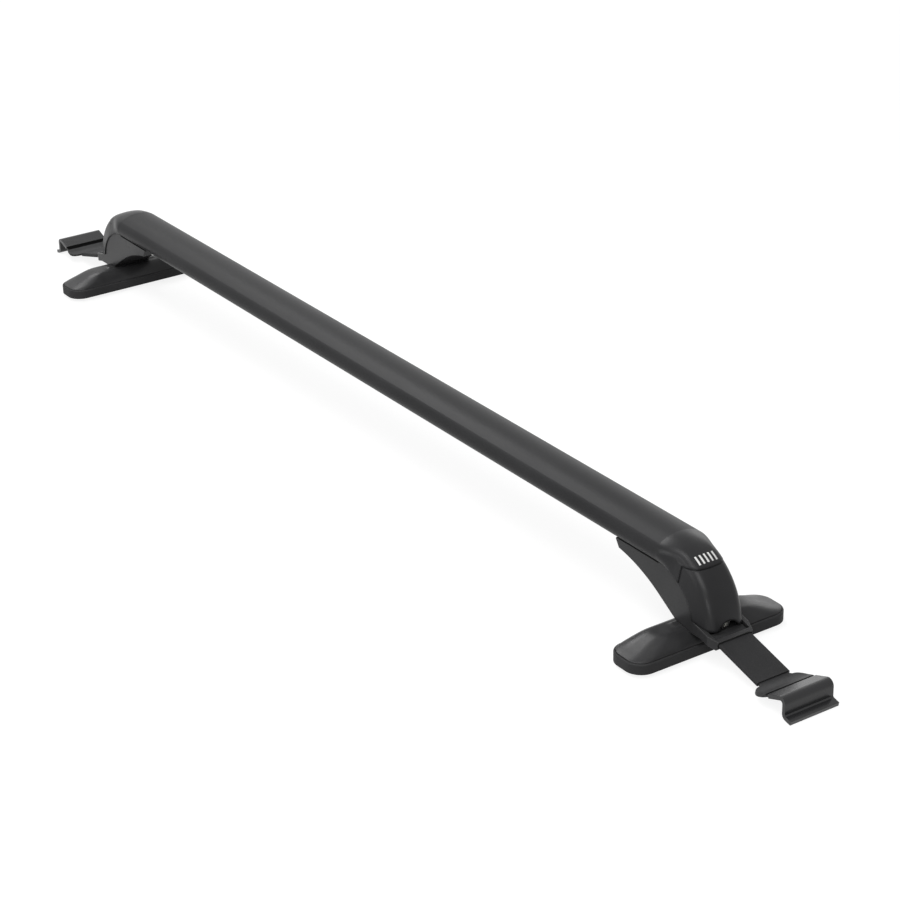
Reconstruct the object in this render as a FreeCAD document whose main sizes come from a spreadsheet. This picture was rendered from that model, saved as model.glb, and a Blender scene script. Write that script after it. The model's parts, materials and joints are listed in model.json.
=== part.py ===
import FreeCAD, Part
import math
import os
import Sketcher

from FreeCAD import Placement, Rotation, Vector

# Roof rack crossbar: an oval bar between two arched feet, each with a pad on the
# roof and a hook strap that a screw draws against the door frame.
# Frame: X along the bar, Y along the car, Z up, z = 0 at the lips of the hooks.
# Millimetres and degrees.

SIZES = (
    ("bar_length", 932.0, "bar between its end faces"),
    ("bar_width", 48.5, "oval section, front to back"),
    ("bar_height", 27.0, "oval section, top to bottom"),
    ("bar_nose", 9.5, "radius of the oval's front and back"),
    ("bar_wall", 2.2, "wall of the extrusion"),
    ("bar_rib", 2.0, "each of the two ribs inside the bar"),
    ("channel_width", 16.0, "middle chamber between the ribs"),
    ("bar_level", 71.8, "bar centre above the underside of the pads"),
    ("bend_radius", 50.5, "sweep of each end, at the oval's centre"),
    ("end_angle", 42.0, "sweep of the foot's fixed end"),
    ("seam_back", 25.3, "upright joint of foot and cover, inboard of the sweep's middle"),
    ("seam_level", 70.6, "level joint of foot and cover above the pad's underside"),
    ("cover_angle", 86.0, "lower edge of the cover"),
    ("cover_gap", 0.4, "joint line between foot and cover"),
    ("shell_wall", 2.4, "wall over the foot's swept end and of the cover"),
    ("cover_rise", 12.7, "cover's face, outside the sweep's middle"),
    ("cover_crown", 80.0, "radius of the cover's face across"),
    ("cover_ridge", 4.5, "radius of the ridges beside the cover's face"),
    ("cover_foot", 21.9, "half width of the cover where it meets the side plates"),
    ("cover_lean", 17.0, "cover's sides, from upright"),
    ("notch_radius", 11.0, "tool notch in the cover's lower edge"),
    ("notch_height", 6.5, "height of the tool notch"),
    ("foot_width", 42.0, "over the foot's side plates"),
    ("foot_gap", 0.4, "side plate to cover, each side"),
    ("web_inset", 7.5, "edge of the side plates inside the sweep's middle"),
    ("saddle_gap", 0.1, "bar to saddle"),
    ("saddle_reach", 55.5, "gusset under the bar, inboard of its end"),
    ("saddle_drop", 1.4, "side plates stop this far under the bar's flank"),
    ("tip_length", 4.0, "slanted end of the gusset"),
    ("tip_height", 1.0, "blunt edge of the gusset's tip"),
    ("arch_radius", 140.0, "arch under the gusset"),
    ("arch_slope", 32.2, "straight stretch of the arch, from level"),
    ("arch_foot", 23.0, "where the arch meets the base, inboard of the sweep's middle"),
    ("arch_start", 49.7, "where the straight stretch turns into the arch, likewise"),
    ("arch_wall", 3.5, "wall behind the arch"),
    ("seat_level", 19.0, "foot's underside above the pad's underside"),
    ("bolt_pitch", 24.0, "between the two saddle bolts"),
    ("bolt_inset", 12.0, "outer saddle bolt from the bar's end"),
    ("bolt_shank", 6.0, "saddle bolt"),
    ("bolt_head", 10.5, "saddle bolt's button head"),
    ("bolt_head_height", 3.3, "saddle bolt's button head"),
    ("bolt_dome", 2.0, "rounding of the saddle bolt's head"),
    ("bolt_socket", 2.0, "socket in the saddle bolt's head"),
    ("bolt_room", 0.3, "clearance round a bolt, each side"),
    ("bolt_nose", 2.3, "bolt end past the nut plate"),
    ("ring_width", 12.0, "washer under a saddle bolt"),
    ("ring_height", 1.2, "washer under a saddle bolt"),
    ("saddle_flange", 5.0, "saddle between bolt washer and bar"),
    ("plate_height", 4.0, "nut plate in the bar"),
    ("plate_length", 44.0, "nut plate in the bar"),
    ("plate_bore", 6.2, "holes in the nut plate"),
    ("plate_room", 0.3, "nut plate to channel walls, each side"),
    ("strap_tilt", 15.08, "strap slopes down outboard"),
    ("strap_back", 1.5, "strap's turned-up end, inboard of the sweep's middle"),
    ("strap_level", 24.16, "strap's mid-plane there, above the pad's underside"),
    ("strap_width", 30.0, "steel strap"),
    ("strap_thick", 2.0, "steel strap and hook"),
    ("tab_width", 20.0, "turned-up end"),
    ("tab_height", 12.0, "turned-up end above the strap's mid-plane"),
    ("tab_thick", 2.5, "turned-up end"),
    ("tab_round", 4.0, "upper corners of the turned-up end"),
    ("screw_offset", 5.8, "screw axis above the strap's mid-plane"),
    ("screw_shank", 5.2, "tension screw"),
    ("screw_length", 33.5, "tension screw under its head"),
    ("screw_head", 8.5, "tension screw's socket head"),
    ("screw_head_height", 5.0, "tension screw's socket head"),
    ("socket_flats", 4.0, "hexagon socket across its flats"),
    ("socket_depth", 2.8, "hexagon socket"),
    ("screw_chamfer", 0.5, "ends of the tension screw"),
    ("screw_room", 0.3, "screw to nut and tab, each side"),
    ("collar_width", 9.4, "washer between screw head and strap"),
    ("collar_thick", 1.0, "washer between screw head and strap"),
    ("nut_width", 12.0, "square nut held in the foot"),
    ("nut_thick", 5.0, "square nut held in the foot"),
    ("nut_reach", 23.0, "far face of the nut, inboard of the strap's end"),
    ("nut_room", 0.2, "nut to its slot, each side"),
    ("rib_cover", 2.0, "foot's rib each side of the nut"),
    ("lane_width", 34.4, "channel for the strap and the space above it"),
    ("lane_height", 4.8, "channel for the strap"),
    ("mouth_height", 22.0, "opening for the screw above the strap's mid-plane"),
    ("cavity_height", 39.0, "cavity inside the foot above the strap's mid-plane"),
    ("cavity_drop", 2.0, "cavity's top inboard, under the sweep's middle"),
    ("lane_wall", 1.5, "wall over and under that channel at the nose"),
    ("nose_reach", 21.7, "nose of the foot, outboard of the strap's end"),
    ("bridge_start", 18.0, "inboard edge of the bridge over the strap"),
    ("nose_gap", 0.5, "nose to the cover above it"),
    ("nose_width", 38.0, "front of the nose"),
    ("nose_taper", 9.0, "the nose narrows over this length"),
    ("nose_round", 2.0, "upright corners of the nose"),
    ("sleeve_width", 33.0, "sleeve on the strap"),
    ("sleeve_thick", 4.0, "sleeve on the strap"),
    ("sleeve_start", 10.0, "sleeve from the strap's end"),
    ("sleeve_end", 69.5, "sleeve from the strap's end"),
    ("sleeve_room", 0.2, "sleeve to steel, each side"),
    ("sleeve_round", 1.4, "long edges of the sleeve"),
    ("dip_reach", 74.7, "lowest fold of the hook, outboard of the strap's end"),
    ("dip_radius", 20.0, "that fold"),
    ("rise_angle", 20.0, "hook plate climbs outboard"),
    ("flange_reach", 107.0, "hook's flange, outboard of the strap's end"),
    ("crest_radius", 3.8, "fold over the door frame"),
    ("lip_length", 8.2, "lip beyond the flange"),
    ("lip_angle", 14.0, "lip slopes down outboard"),
    ("lip_radius", 3.0, "fold into the lip"),
    ("hook_drop", 3.7, "lip of the hook below the underside of the pads"),
    ("lobe_width", 51.0, "hook plate over its lobes"),
    ("lobe_start", 72.5, "lobes from the strap's end"),
    ("lobe_radius", 9.0, "corner of a lobe"),
    ("waist_radius", 6.0, "outer corner of a lobe towards the boot"),
    ("root_radius", 2.4, "inner corner between strap and lobe"),
    ("boot_reach", 89.0, "inboard edge of the hook's boot, outboard of the strap's end"),
    ("boot_width", 48.6, "boot on the hook"),
    ("boot_thick", 3.4, "boot on the hook, over all"),
    ("boot_end", 1.2, "boot beyond the steel lip"),
    ("boot_room", 0.1, "boot to steel, each side"),
    ("pad_back", 23.5, "pad's centre, inboard of the sweep's middle"),
    ("pad_length", 157.5, "pad along the car"),
    ("pad_width", 41.0, "pad across the car"),
    ("pad_corner", 15.4, "corner radius of the pad"),
    ("pad_height", 9.0, "rim of the rubber pad"),
    ("pad_floor", 6.0, "rubber under the base"),
    ("pad_rim", 1.6, "rubber round the base"),
    ("pad_edge", 1.2, "rounding of the pad's rim"),
    ("tread_depth", 1.0, "groove under the pad"),
    ("tread_width", 3.0, "groove under the pad"),
    ("tread_pitch", 16.0, "between grooves"),
    ("tread_count", 9, "grooves under each pad"),
    ("tread_margin", 4.5, "pad's edge to the end of a groove"),
    ("base_room", 0.3, "base to the pad's rim, each side"),
    ("base_wall", 3.6, "upright edge of the base above the pad's floor"),
    ("crown_height", 12.5, "crown of the base above that edge"),
    ("post_back", 20.2, "base screws, inboard of the sweep's middle"),
    ("post_pitch", 22.0, "between the two base screws"),
    ("post_shank", 4.0, "base screw"),
    ("post_head", 8.0, "base screw's head"),
    ("post_head_height", 3.0, "base screw's head"),
    ("post_sink", 1.0, "base screw's head above the pad's floor"),
    ("post_depth", 11.0, "base screw inside the foot"),
    ("post_room", 0.2, "clearance round a base screw, each side"),
    ("cut_over", 1.0, "cuts run this far past a face"),
    ("cut_through", 120.0, "cuts with no floor"),
)

SIDES = ("right", "left")
TOUCH = 1e-4

# Rings of the base's crown: shares of its height, of its length and of its width.
CROWN_RINGS = (
    (0.0, 1.0, 1.0), (0.15, 0.93, 0.97), (0.38, 0.82, 0.88), (0.68, 0.7, 0.7),
    (0.9, 0.52, 0.42), (0.985, 0.36, 0.2))

doc = FreeCAD.newDocument("roof_rack_crossbar")
sheet = doc.addObject("Spreadsheet::Sheet", "sizes")
for row, (name, amount, meaning) in enumerate(SIZES, start=1):
    sheet.set(f"A{row}", name)
    sheet.set(f"B{row}", str(amount))
    sheet.set(f"C{row}", meaning)
    sheet.setAlias(f"B{row}", name)
doc.recompute()


def size(name):
    """The value of one cell of the sheet."""
    return float(getattr(sheet, name))


def bind(thing, **rules):
    """Tie properties of an object to rules on the sheet's names."""
    for prop, rule in rules.items():
        thing.setExpression(prop, rule)


# Places that follow from the sizes.
axis_level = size("bar_level") - size("bend_radius")
strap_x = size("bend_radius") - size("strap_back")
pad_x = size("bend_radius") - size("pad_back")
seam_x = size("bend_radius") - size("seam_back")
web_radius = size("bend_radius") - size("web_inset")
arch_foot_x = size("bend_radius") - size("arch_foot")
tilt = math.radians(size("strap_tilt"))
strap_z = size("strap_level") - axis_level
seat_z = size("seat_level") - axis_level
seam_z = size("seam_level") - axis_level
lane_half = size("lane_height") / 2
nose_half = lane_half + size("lane_wall")
nut_near = size("nut_thick") - size("nut_reach")
rib_near = nut_near + size("rib_cover")
rib_far = -size("nut_reach") - size("rib_cover")


def along(run, rise):
    """A point in the foot's frame, from its place in the strap's frame."""
    x = strap_x + run * math.cos(tilt) + rise * math.sin(tilt)
    z = strap_z - run * math.sin(tilt) + rise * math.cos(tilt)
    return (x, z)


def strap_frame(x, z):
    """Run and rise in the strap's frame of a point in the foot's frame."""
    dx = x - strap_x
    dz = z - strap_z
    run = dx * math.cos(tilt) - dz * math.sin(tilt)
    rise = dx * math.sin(tilt) + dz * math.cos(tilt)
    return (run, rise)


def plane(body, role):
    """One of the body's own origin planes or axes."""
    return next(item for item in body.Origin.OriginFeatures if item.Role == role)


def new_body(label):
    body = doc.addObject("PartDesign::Body", label)
    body.Label = label
    return body


def new_sketch(body, name, role, shift=0.0):
    """A sketch on an origin plane of the body, moved along its normal."""
    sketch = body.newObject("Sketcher::SketchObject", name)
    sketch.AttachmentSupport = [(plane(body, role), "")]
    sketch.MapMode = "FlatFace"
    sketch.AttachmentOffset = Placement(Vector(0, 0, shift), Rotation())
    return sketch


def join_ends(sketch, first, second, point):
    """Tie the ends of two pieces of a sketch that meet at a point."""
    ends = []
    for piece in (first, second):
        near_start = sketch.getPoint(piece, 1).distanceToPoint(point) < TOUCH
        ends.append((piece, 1 if near_start else 2))
    sketch.addConstraint(Sketcher.Constraint("Coincident", *ends[0], *ends[1]))


def trace(sketch, start, *steps, closed=True):
    """Draw an outline: a step is a point, or a mid-point and an end for an arc."""
    here = Vector(*start, 0)
    pieces = []
    joints = []
    for step in steps:
        if isinstance(step[0], tuple):
            middle, end = (Vector(*spot, 0) for spot in step)
            shape = Part.Arc(here, middle, end)
        else:
            end = Vector(*step, 0)
            shape = Part.LineSegment(here, end)
        pieces.append(sketch.addGeometry(shape, False))
        joints.append(end)
        here = end
    for first, second, point in zip(pieces, pieces[1:], joints):
        join_ends(sketch, first, second, point)
    if closed:
        join_ends(sketch, pieces[-1], pieces[0], joints[-1])
    return pieces


def box_outline(sketch, low, high):
    """A rectangle between two corners."""
    (x0, y0), (x1, y1) = low, high
    return trace(sketch, (x0, y0), (x1, y0), (x1, y1), (x0, y1), (x0, y0))


def circle(sketch, centre, rule, factor=0.5):
    """A circle whose diameter follows a rule on the sheet."""
    radius = factor * float(sheet.evalExpression(rule))
    ring = Part.Circle(Vector(*centre, 0), Vector(0, 0, 1), radius)
    piece = sketch.addGeometry(ring, False)
    sketch.addConstraint(Sketcher.Constraint("DistanceX", piece, 3, centre[0]))
    sketch.addConstraint(Sketcher.Constraint("DistanceY", piece, 3, centre[1]))
    number = sketch.addConstraint(Sketcher.Constraint("Diameter", piece, 2 * radius))
    sketch.setExpression(f"Constraints[{number}]", rule)


class Oval:
    """Four tangent arcs, drawn in from the bar's section by an offset."""

    def __init__(self, centre, inward=0.0):
        self.centre = centre
        self.half_width = size("bar_width") / 2 - inward
        self.half_height = size("bar_height") / 2 - inward
        self.nose = size("bar_nose") - inward
        flat = self.half_width - self.nose
        self.crown = (flat ** 2 + self.half_height ** 2 - self.nose ** 2) / (
            2 * (self.half_height - self.nose))
        share = self.nose / (self.crown - self.nose)
        self.joint_y = flat * (1 + share)
        self.joint_z = (self.crown - self.half_height) * share

    def rise(self, y):
        """Height of the upper arc above the centre, at a distance from the middle."""
        return self.half_height - self.crown + math.sqrt(self.crown ** 2 - y ** 2)

    def flank(self, z):
        """Half width of the oval at a height from its centre."""
        return self.half_width - self.nose + math.sqrt(self.nose ** 2 - z ** 2)

    def flank_rise(self, y):
        """Height of the nose arc above the centre, at a distance from the middle."""
        return math.sqrt(self.nose ** 2 - (y - self.half_width + self.nose) ** 2)

    def draw(self, sketch):
        mid = self.centre
        y, z = self.joint_y, self.joint_z
        return trace(
            sketch, (y, mid + z),
            ((0, mid + self.half_height), (-y, mid + z)),
            ((-self.half_width, mid), (-y, mid - z)),
            ((0, mid - self.half_height), (y, mid - z)),
            ((self.half_width, mid), (y, mid + z)))


def pad(body, sketch, rule, midplane=False, backward=False):
    feature = body.newObject("PartDesign::Pad", sketch.Name + "_pad")
    feature.Profile = sketch
    feature.Midplane = midplane
    feature.Reversed = backward
    bind(feature, Length=rule)
    doc.recompute()
    return feature


def pocket(body, sketch, rule, midplane=False, backward=False):
    """Cut, and make sure that the cut took something away."""
    before = body.Shape.Volume
    feature = body.newObject("PartDesign::Pocket", sketch.Name + "_cut")
    feature.Profile = sketch
    feature.Midplane = midplane
    feature.Reversed = backward
    bind(feature, Length=rule)
    doc.recompute()
    if body.Shape.Volume >= before - TOUCH:
        raise ValueError(f"{body.Label}: {sketch.Name} cuts nothing")
    return feature


def turn(body, sketch, rule, kind="Revolution"):
    """Sweep a section about the body's Y axis, from upright towards +X."""
    feature = body.newObject("PartDesign::" + kind, sketch.Name + "_turn")
    feature.Profile = sketch
    feature.ReferenceAxis = (plane(body, "Y_Axis"), [""])
    feature.Midplane = False
    feature.Reversed = False
    bind(feature, Angle=rule)
    doc.recompute()
    return feature


def place(body, side, x_rule="0", z_rule="0", tilted=False):
    """Set a piece of the right-hand end, or turn it round for the left-hand end."""
    lean = Rotation(Vector(0, 1, 0), size("strap_tilt") if tilted else 0.0)
    sign = "" if side == "right" else "-"
    if side == "left":
        lean = Rotation(Vector(0, 0, 1), 180).multiply(lean)
    body.Placement = Placement(Vector(), lean)
    body.setExpression(".Placement.Base.x", f"{sign}(sizes.bar_length / 2 + {x_rule})")
    body.setExpression(".Placement.Base.z", f"sizes.hook_drop + {z_rule}")


AXIS_RULE = "sizes.bar_level - sizes.bend_radius"
STRAP_X_RULE = "sizes.bend_radius - sizes.strap_back"
PAD_X_RULE = "sizes.bend_radius - sizes.pad_back"
SCREW_X_RULE = STRAP_X_RULE + " + sizes.screw_offset * sin(sizes.strap_tilt * 1 deg)"
SCREW_Z_RULE = "sizes.strap_level + sizes.screw_offset * cos(sizes.strap_tilt * 1 deg)"


def bar_extrusion():
    """Hollow oval bar with two ribs and holes for the saddle bolts."""
    body = new_body("bar_extrusion")
    outer = Oval(0.0)
    inner = Oval(0.0, size("bar_wall"))
    sketch = new_sketch(body, "bar_section", "YZ_Plane")
    outer.draw(sketch)
    floor = -inner.half_height
    web = size("channel_width") / 2
    trace(sketch, (-web, floor), (web, floor), (web, inner.rise(web)),
          ((0, inner.half_height), (-web, inner.rise(web))), (-web, floor))
    edge = web + size("bar_rib")
    middle = (edge + inner.joint_y) / 2
    for sign in (1, -1):
        trace(
            sketch, (sign * edge, -inner.rise(edge)),
            ((sign * middle, -inner.rise(middle)), (sign * inner.joint_y, -inner.joint_z)),
            ((sign * inner.half_width, 0), (sign * inner.joint_y, inner.joint_z)),
            ((sign * middle, inner.rise(middle)), (sign * edge, inner.rise(edge))),
            (sign * edge, -inner.rise(edge)))
    pad(body, sketch, "sizes.bar_length", midplane=True)
    holes = new_sketch(body, "bolt_holes", "XY_Plane")
    first = size("bar_length") / 2 - size("bolt_inset")
    for sign in (1, -1):
        for spot in (first, first - size("bolt_pitch")):
            circle(holes, (sign * spot, 0), "sizes.bolt_shank + 2 * sizes.bolt_room")
    pocket(body, holes, "sizes.bar_height")
    body.setExpression(".Placement.Base.z", "sizes.hook_drop + sizes.bar_level")


def arch_line(start_z):
    """Corner, bend and tip of the arch, in the foot's frame."""
    slope = math.radians(size("arch_slope"))
    foot_x = arch_foot_x
    bend_x = size("bend_radius") - size("arch_start")
    bend_z = start_z + (foot_x - bend_x) * math.tan(slope)
    radius = size("arch_radius")
    centre = (bend_x - radius * math.sin(slope), bend_z - radius * math.cos(slope))
    end_x = size("tip_length") - size("saddle_reach")

    def on_arc(x):
        return (x, centre[1] + math.sqrt(radius ** 2 - (x - centre[0]) ** 2))

    return (bend_x, bend_z), on_arc((bend_x + end_x) / 2), on_arc(end_x)


def foot(side):
    """Moulded foot: gusset, side plates, swept end, rib for the nut, and nose."""
    body = new_body(f"foot_{side}")
    level = size("bend_radius")
    section = Oval(level)
    top = level - section.flank_rise(size("foot_width") / 2) - size("saddle_drop")
    tip_x = -size("saddle_reach")
    bend, arch_mid, arch_end = arch_line(seat_z)
    web = web_radius

    # The upper face of the nose meets the round edge of the side plates.
    run = -strap_frame(0, 0)[0]
    height = strap_frame(0, 0)[1]
    meet = along(math.sqrt(web ** 2 - (nose_half - height) ** 2) - run, nose_half)
    halfway = math.atan2(*meet) / 2
    under = (strap_x, seat_z)
    slack = strap_frame(*under)[1] + nose_half
    under = (under[0] - slack / math.sin(tilt), seat_z)

    ring = new_sketch(body, "end_section", "YZ_Plane")
    section.draw(ring)
    inner = Oval(0.0, size("shell_wall"))
    inside = size("lane_width") / 2
    edge = inner.rise(inside)
    trace(ring, (inside, level - edge), (inside, level + edge),
          ((0, level + inner.half_height), (-inside, level + edge)),
          (-inside, level - edge), (inside, level - edge))
    turn(body, ring, "sizes.end_angle")
    far = size("cut_through")
    seam = new_sketch(body, "seam_corner", "XZ_Plane")
    box_outline(seam, (seam_x, -far), (far, seam_z))
    pocket(body, seam, "sizes.cut_through", midplane=True)

    outline = new_sketch(body, "foot_outline", "XZ_Plane")
    trace(
        outline, (tip_x, top), (0, top), (0, web),
        ((web * math.sin(halfway), web * math.cos(halfway)), meet),
        along(size("nose_reach"), nose_half), along(size("nose_reach"), -nose_half),
        under, (arch_foot_x, seat_z), bend, (arch_mid, arch_end),
        (tip_x, top - size("tip_height")), (tip_x, top))
    pad(body, outline, "sizes.foot_width", midplane=True)
    taper = new_sketch(body, "nose_taper", "XY_Plane", level)
    beyond = size("nose_reach") + size("cut_over")
    back_x = along(size("nose_reach") - size("nose_taper"), 0)[0]
    turn_x = along(size("nose_reach"), -nose_half)[0] - size("nose_round")
    front_x = along(beyond, nose_half)[0]
    wide, narrow = size("foot_width") / 2, size("nose_width") / 2
    for sign in (1, -1):
        trace(taper, (back_x, sign * wide), (turn_x, sign * narrow),
              (front_x, sign * (narrow - size("nose_round"))),
              (front_x, sign * (wide + size("cut_over"))),
              (back_x, sign * (wide + size("cut_over"))), (back_x, sign * wide))
    pocket(body, taper, "sizes.cut_through")

    bed = new_sketch(body, "bar_bed", "YZ_Plane")
    Oval(level, -size("saddle_gap")).draw(bed)
    pocket(body, bed, "sizes.saddle_reach + sizes.cut_over")

    lane = new_sketch(body, "strap_lane", "XZ_Plane")
    clear = size("cavity_height")
    rise = size("mouth_height")
    trace(
        lane, along(rib_near, -lane_half), along(beyond, -lane_half),
        along(beyond, lane_half), along(size("bridge_start"), lane_half),
        along(size("bridge_start"), rise), along(rib_near, rise),
        along(rib_near, -lane_half))
    pocket(body, lane, "sizes.lane_width", midplane=True)

    room = new_sketch(body, "room_behind_rib", "XZ_Plane")
    slope = math.radians(size("arch_slope"))
    wall = size("arch_wall")
    start_z = bend[1] + (bend[0] - wall) * math.tan(slope) + wall / math.cos(slope)
    far_x, far_z = along(rib_far, 0)
    gap = bend[1] + (bend[0] - far_x) * math.tan(slope) + wall / math.cos(slope) - far_z
    drop = gap / (math.cos(tilt) + math.sin(tilt) * math.tan(slope))
    trace(room, (wall, start_z), along(rib_far, drop), along(rib_far, clear),
          (wall, level - size("cavity_drop")), (wall, start_z))
    pocket(body, room, "sizes.lane_width", midplane=True)

    slot = new_sketch(body, "nut_slot", "XZ_Plane")
    room_n = size("nut_room")
    low = size("screw_offset") - size("nut_width") / 2 - room_n
    trace(slot, along(-size("nut_reach") - room_n, low), along(nut_near + room_n, low),
          along(nut_near + room_n, clear), along(-size("nut_reach") - room_n, clear),
          along(-size("nut_reach") - room_n, low))
    pocket(body, slot, "sizes.nut_width + 2 * sizes.nut_room", midplane=True)

    groove = new_sketch(body, "screw_groove", "XZ_Plane")
    low = size("screw_offset") - size("screw_shank") / 2 - size("screw_room")
    start, stop = rib_far - size("cut_over"), rib_near + size("cut_over")
    trace(groove, along(start, low), along(stop, low), along(stop, clear),
          along(start, clear), along(start, low))
    pocket(body, groove, "sizes.screw_shank + 2 * sizes.screw_room", midplane=True)

    holes = new_sketch(body, "saddle_holes", "XY_Plane", level)
    spots = [-size("bolt_inset"), -size("bolt_inset") - size("bolt_pitch")]
    for spot in spots:
        circle(holes, (spot, 0), "sizes.bolt_shank + 2 * sizes.bolt_room")
    pocket(body, holes, "sizes.bend_radius")
    seat = level - size("bar_height") / 2 - size("saddle_flange")
    wells = new_sketch(body, "bolt_wells", "XY_Plane", seat)
    for spot in spots:
        circle(wells, (spot, 0), "sizes.ring_width + 2 * sizes.bolt_room")
    pocket(body, wells, "sizes.bend_radius")

    posts = new_sketch(body, "base_screw_holes", "XY_Plane", seat_z)
    for sign in (1, -1):
        spot = (size("bend_radius") - size("post_back"), sign * size("post_pitch") / 2)
        circle(posts, spot, "sizes.post_shank")
    pocket(body, posts, "sizes.post_depth + sizes.cut_over", backward=True)
    place(body, side, "0", AXIS_RULE)


def hood_side(inward):
    """Foot, ridge start, ridge middle and ridge end of the cover's section."""
    lean = math.radians(size("cover_lean"))
    up = Vector(-math.sin(lean), math.cos(lean), 0)
    across = Vector(-math.cos(lean), -math.sin(lean), 0)
    foot_spot = Vector(size("cover_foot"), size("cover_gap") - size("web_inset"), 0)
    hub = Vector(0, size("cover_rise") - size("cover_crown"), 0)
    ridge = size("cover_ridge")
    from_hub = foot_spot + across * ridge - hub
    slide = from_hub.dot(up)
    reach = (size("cover_crown") - ridge) ** 2 - from_hub.dot(from_hub)
    centre = foot_spot + across * ridge + up * (math.sqrt(slide ** 2 + reach) - slide)
    outward = (centre - hub).normalize()
    radius = ridge - inward
    low = foot_spot + across * inward + up * (inward * math.tan(lean))
    middle = centre + (outward - across).normalize() * radius
    return [(spot.x, spot.y) for spot in (
        low, centre - across * radius, middle, centre + outward * radius)]


def cover(side):
    """Swept lower cover with a notch for the key of the tension screw."""
    body = new_body(f"cover_{side}")
    level = size("bend_radius")
    section = new_sketch(body, "cover_section", "YZ_Plane")
    sides = []
    for inward in (0.0, size("shell_wall")):
        sides.append([(y, level + z) for y, z in hood_side(inward)])
    outer, inner = sides
    crest = level + size("cover_rise")

    def across(spot):
        return (-spot[0], spot[1])

    trace(
        section, outer[0], outer[1], (outer[2], outer[3]),
        ((0, crest), across(outer[3])), (across(outer[2]), across(outer[1])),
        across(outer[0]), across(inner[0]), across(inner[1]),
        (across(inner[2]), across(inner[3])), ((0, crest - size("shell_wall")), inner[3]),
        (inner[2], inner[1]), inner[0], outer[0])
    turn(body, section, "sizes.cover_angle")
    far = size("cut_through")
    x, z = seam_x + size("cover_gap"), seam_z - size("cover_gap")
    seam = new_sketch(body, "seam_corner", "XZ_Plane")
    trace(seam, (-far, -far), (x, -far), (x, z), (far, z), (far, far), (-far, far),
          (-far, -far))
    pocket(body, seam, "sizes.cut_through", midplane=True)

    relief = new_sketch(body, "nose_relief", "XZ_Plane")
    top = nose_half + size("nose_gap")
    trace(relief, along(-far, top), along(far, top), along(far, -far), along(-far, -far),
          along(-far, top))
    pocket(body, relief, "sizes.cut_through", midplane=True)

    edge = crest * math.cos(math.radians(size("cover_angle")))
    notch = new_sketch(body, "key_notch", "YZ_Plane", web_radius)
    centre = edge + size("notch_height") - size("notch_radius")
    circle(notch, (0, centre), "2 * sizes.notch_radius")
    pocket(body, notch, "sizes.bend_radius", backward=True)
    place(body, side, "0", AXIS_RULE)


def nut_plate(side):
    """Threaded plate in the bar's middle chamber."""
    body = new_body(f"nut_plate_{side}")
    sketch = new_sketch(body, "plate_outline", "XY_Plane")
    middle = -size("bolt_inset") - size("bolt_pitch") / 2
    half = size("plate_length") / 2
    side_y = size("channel_width") / 2 - size("plate_room")
    box_outline(sketch, (middle - half, -side_y), (middle + half, side_y))
    for spot in (-size("bolt_inset"), -size("bolt_inset") - size("bolt_pitch")):
        circle(sketch, (spot, 0), "sizes.plate_bore")
    pad(body, sketch, "sizes.plate_height")
    place(body, side, "0", "sizes.bar_level - sizes.bar_height / 2 + sizes.bar_wall")


def saddle_bolts(side):
    """Two button-head bolts from the saddle up into the nut plate."""
    body = new_body(f"saddle_bolts_{side}")
    spots = (-size("bolt_inset"), -size("bolt_inset") - size("bolt_pitch"))
    seat = -size("ring_height")
    head = new_sketch(body, "bolt_heads", "XY_Plane", seat)
    shank = new_sketch(body, "bolt_shanks", "XY_Plane", seat)
    for spot in spots:
        circle(head, (spot, 0), "sizes.bolt_head")
        circle(shank, (spot, 0), "sizes.bolt_shank")
    feature = pad(body, head, "sizes.bolt_head_height", backward=True)
    edges = [f"Edge{number}" for number, edge in enumerate(feature.Shape.Edges, start=1)
             if abs(edge.BoundBox.ZMax - seat + size("bolt_head_height")) < TOUCH]
    dome = body.newObject("PartDesign::Fillet", "head_rounding")
    dome.Base = (feature, edges)
    bind(dome, Radius="sizes.bolt_dome")
    doc.recompute()
    pad(body, shank, "sizes.ring_height + sizes.saddle_flange + sizes.bar_wall"
        " + sizes.plate_height + sizes.bolt_nose")
    sockets = new_sketch(body, "bolt_sockets", "XY_Plane", seat - size("bolt_head_height"))
    for spot in spots:
        hexagon(sockets, (spot, 0), size("socket_flats"))
    pocket(body, sockets, "sizes.bolt_socket", backward=True)
    place(body, side, "0",
          "sizes.bar_level - sizes.bar_height / 2 - sizes.saddle_flange")


def hexagon(sketch, centre, flats):
    """Six sides, by the distance across the flats."""
    radius = flats / math.sqrt(3)
    corners = []
    for number in range(7):
        angle = math.radians(60 * number)
        corners.append((centre[0] + radius * math.cos(angle),
                        centre[1] + radius * math.sin(angle)))
    trace(sketch, *corners)


def saddle_washers(side):
    """Flat washers between the saddle and its bolts."""
    body = new_body(f"saddle_washers_{side}")
    sketch = new_sketch(body, "washer_rings", "XY_Plane")
    for spot in (-size("bolt_inset"), -size("bolt_inset") - size("bolt_pitch")):
        circle(sketch, (spot, 0), "sizes.ring_width")
        circle(sketch, (spot, 0), "sizes.bolt_shank + sizes.bolt_room")
    pad(body, sketch, "sizes.ring_height", backward=True)
    place(body, side, "0",
          "sizes.bar_level - sizes.bar_height / 2 - sizes.saddle_flange")


def rounded(sketch, length, width, corner):
    """A rounded rectangle, long along Y."""
    x, y = width / 2, length / 2
    lean = corner * (1 - math.sqrt(0.5))
    inner_x, inner_y = x - corner, y - corner
    trace(
        sketch, (x, -inner_y), (x, inner_y),
        ((x - lean, y - lean), (inner_x, y)), (-inner_x, y),
        ((-x + lean, y - lean), (-x, inner_y)), (-x, -inner_y),
        ((-x + lean, -y + lean), (-inner_x, -y)), (inner_x, -y),
        ((x - lean, -y + lean), (x, -inner_y)))


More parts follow.
